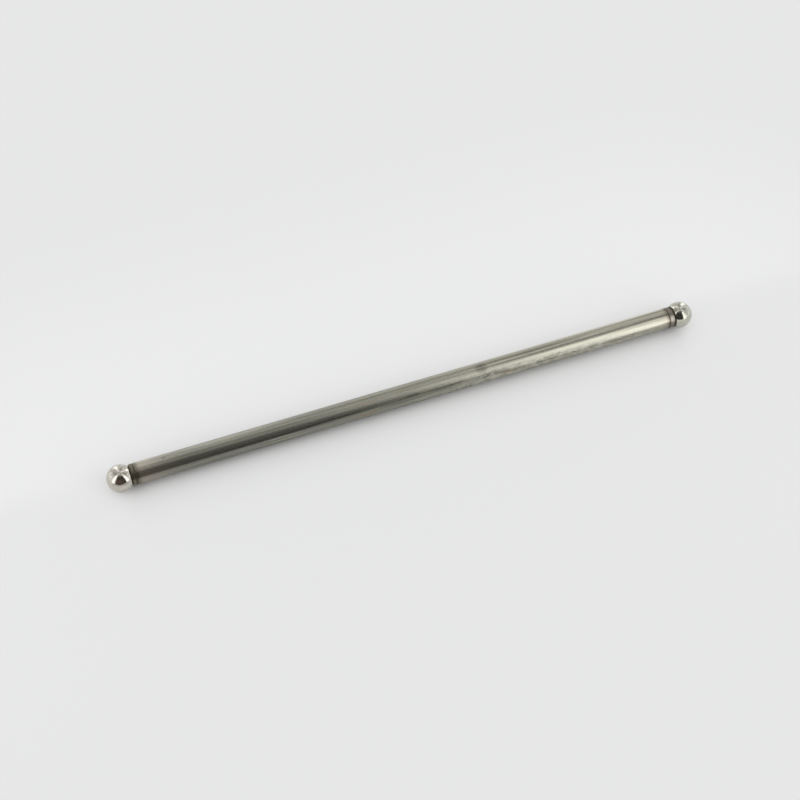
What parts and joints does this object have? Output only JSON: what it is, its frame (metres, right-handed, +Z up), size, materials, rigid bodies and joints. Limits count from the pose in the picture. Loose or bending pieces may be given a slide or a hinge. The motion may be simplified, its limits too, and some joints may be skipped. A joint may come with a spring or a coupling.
{
  "type": "engine pushrod",
  "caption": "Engine pushrod: a slim drawn steel tube with a polished ball end let into the bore at each end, each with a narrow undercut and a flush collar.",
  "frame": {"origin": "on the rod's axis, midway between the two ball tips", "axes": "+X along the rod from the lifter ball to the rocker ball, +Z up with the rod lying level"},
  "size_m": [0.1824, 0.008, 0.008],
  "materials": {
    "drawn_tube": "satin drawn steel with lengthwise marks, a grey-green film and a brown heat tint beside both joints",
    "lifter_ball": "mirror-polished hardened steel ball with a satin, heat-tinted collar",
    "rocker_ball": "mirror-polished hardened steel ball with a satin, heat-tinted collar"
  },
  "bodies": {
    "root": {"push_tube": "drawn_tube", "lifter_ball_end": "lifter_ball", "rocker_ball_end": "rocker_ball"}
  },
  "joints": []
}
